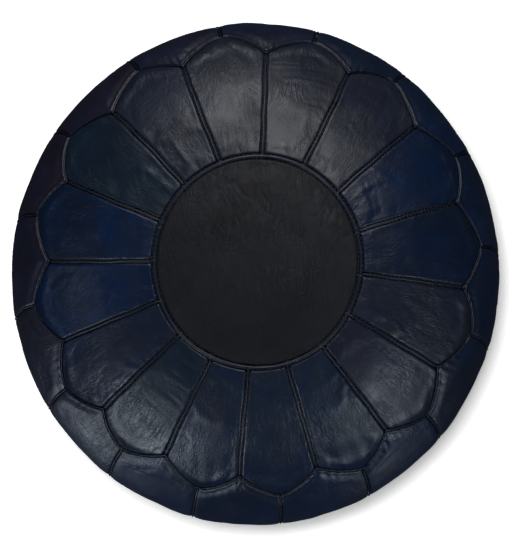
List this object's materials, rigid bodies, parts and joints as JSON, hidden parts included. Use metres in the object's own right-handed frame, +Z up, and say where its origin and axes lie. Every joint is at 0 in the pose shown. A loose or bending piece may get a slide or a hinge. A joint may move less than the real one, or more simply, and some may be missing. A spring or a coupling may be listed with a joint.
{
  "type": "leather pouf",
  "caption": "Round stuffed leather footstool with a flat top medallion, a rosette of sewn petals, tall side panels and a zip in its flat base.",
  "frame": {"origin": "centre of the flat base, on the floor", "axes": "+Z up; +X along the zip towards its closed end; a petal seam lies near +X; -Y is the front"},
  "size_m": [0.53, 0.53, 0.32],
  "materials": {
    "medallion_leather": "matte, finely creased, nearly black",
    "petal_leather": "semi-gloss, hand dyed dark navy with uneven colour and fine grain",
    "side_leather": "semi-gloss, hand dyed dark navy",
    "base_leather": "satin, plain dark navy",
    "piping_leather": "semi-gloss, rolled strip with stitches beside it",
    "zip_tape": "woven, matte",
    "zip_metal": "satin, slightly tarnished",
    "liner_cotton": "plain weave, matte",
    "stuffing_fibre": "loose fibre, matte"
  },
  "bodies": {
    "cover": {"base_panel_back": "base_leather", "base_panel_front": "base_leather", "base_piping": "piping_leather", "liner_bag": "liner_cotton", "medallion": "medallion_leather", "medallion_piping": "piping_leather", "petal_01": "petal_leather", "petal_02": "petal_leather", "petal_03": "petal_leather", "petal_04": "petal_leather", "petal_05": "petal_leather", "petal_06": "petal_leather", "petal_07": "petal_leather", "petal_08": "petal_leather", "petal_09": "petal_leather", "petal_10": "petal_leather", "petal_11": "petal_leather", "petal_12": "petal_leather", "petal_13": "petal_leather", "petal_14": "petal_leather", "petal_15": "petal_leather", "petal_16": "petal_leather", "petal_welts": "piping_leather", "scallop_piping": "piping_leather", "side_panel_01": "side_leather", "side_panel_02": "side_leather", "side_panel_03": "side_leather", "side_panel_04": "side_leather", "side_panel_05": "side_leather", "side_panel_06": "side_leather", "side_panel_07": "side_leather", "side_panel_08": "side_leather", "side_panel_09": "side_leather", "side_panel_10": "side_leather", "side_panel_11": "side_leather", "side_panel_12": "side_leather", "side_panel_13": "side_leather", "side_panel_14": "side_leather", "side_panel_15": "side_leather", "side_panel_16": "side_leather", "side_welts": "piping_leather", "stuffing": "stuffing_fibre", "zip_bottom_stop": "zip_metal", "zip_end_patches": "base_leather", "zip_tape_back": "zip_tape", "zip_tape_front": "zip_tape", "zip_teeth_back": "zip_metal", "zip_teeth_front": "zip_metal", "zip_top_stops": "zip_metal"},
    "slider": {"zip_slider": "zip_metal"},
    "pull_tab": {"zip_pull": "zip_metal"}
  },
  "joints": [
    {"name": "slider_travel", "type": "slide", "parent": "cover", "child": "slider", "axis": [-1, 0, 0], "range_m": [0, 0.235], "deforming": ["zip_teeth_front", "zip_teeth_back"]},
    {"name": "pull_tab_hinge", "type": "hinge", "parent": "slider", "child": "pull_tab", "pos_m": [0.117, 0, 0.00415], "axis": [0, -1, 0], "range_deg": [0, 180]}
  ]
}
